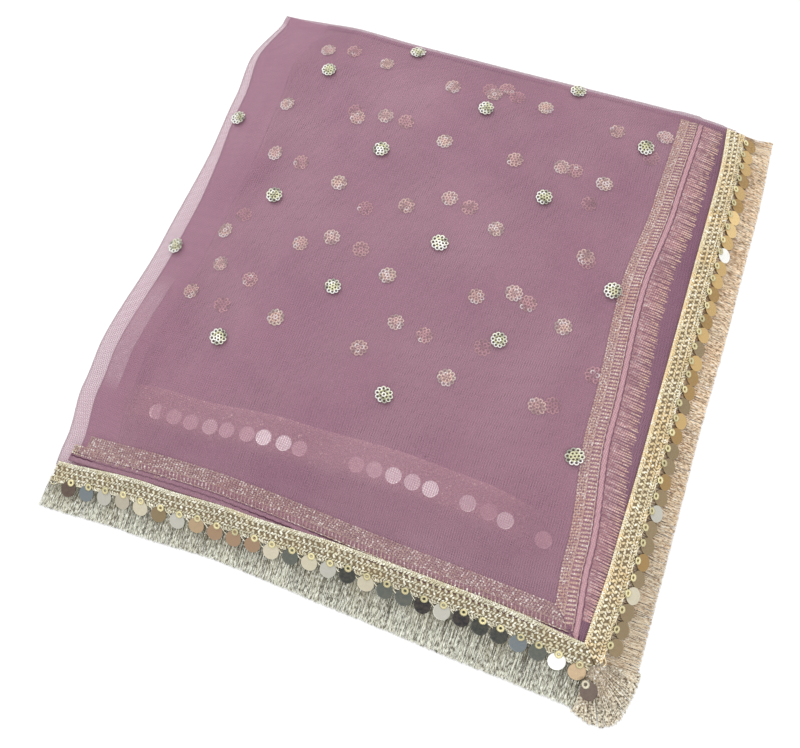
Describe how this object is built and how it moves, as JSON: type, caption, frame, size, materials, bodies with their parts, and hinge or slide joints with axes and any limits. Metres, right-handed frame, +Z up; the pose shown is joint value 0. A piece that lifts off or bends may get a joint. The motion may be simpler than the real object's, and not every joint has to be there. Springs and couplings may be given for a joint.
{
  "type": "dupatta stole",
  "caption": "Folded net dupatta stole lying flat, scattered with sequin flowers, its open edges bordered with crochet braid, round paillettes and metallic fringe.",
  "frame": {"origin": "centre of the folded stole's footprint, on the surface it lies on", "axes": "+Z up, +X to the right along the near bordered edge, +Y away from that edge along the right bordered edge"},
  "size_m": [0.4863, 0.5041, 0.0231],
  "materials": {
    "net": "fine soft net, matt",
    "hidden_net": "fine soft net in many layers, matt",
    "braid": "crocheted metallic yarn, glittering",
    "veiled_braid": "crocheted metallic yarn seen through net",
    "fringe": "fine metallic thread",
    "paillette": "polished thin disc",
    "sequin": "polished pale gold"
  },
  "bodies": {
    "root": {"hidden_layers": "hidden_net", "second_layer": "net", "second_braid_near": "veiled_braid", "second_braid_right": "veiled_braid", "second_fringe_right": "fringe", "top_layer": "net", "top_braid_near": "braid", "top_braid_right": "braid", "top_fringe_near": "fringe", "top_fringe_right": "fringe", "top_fringe_corner": "fringe"}
  },
  "joints": []
}
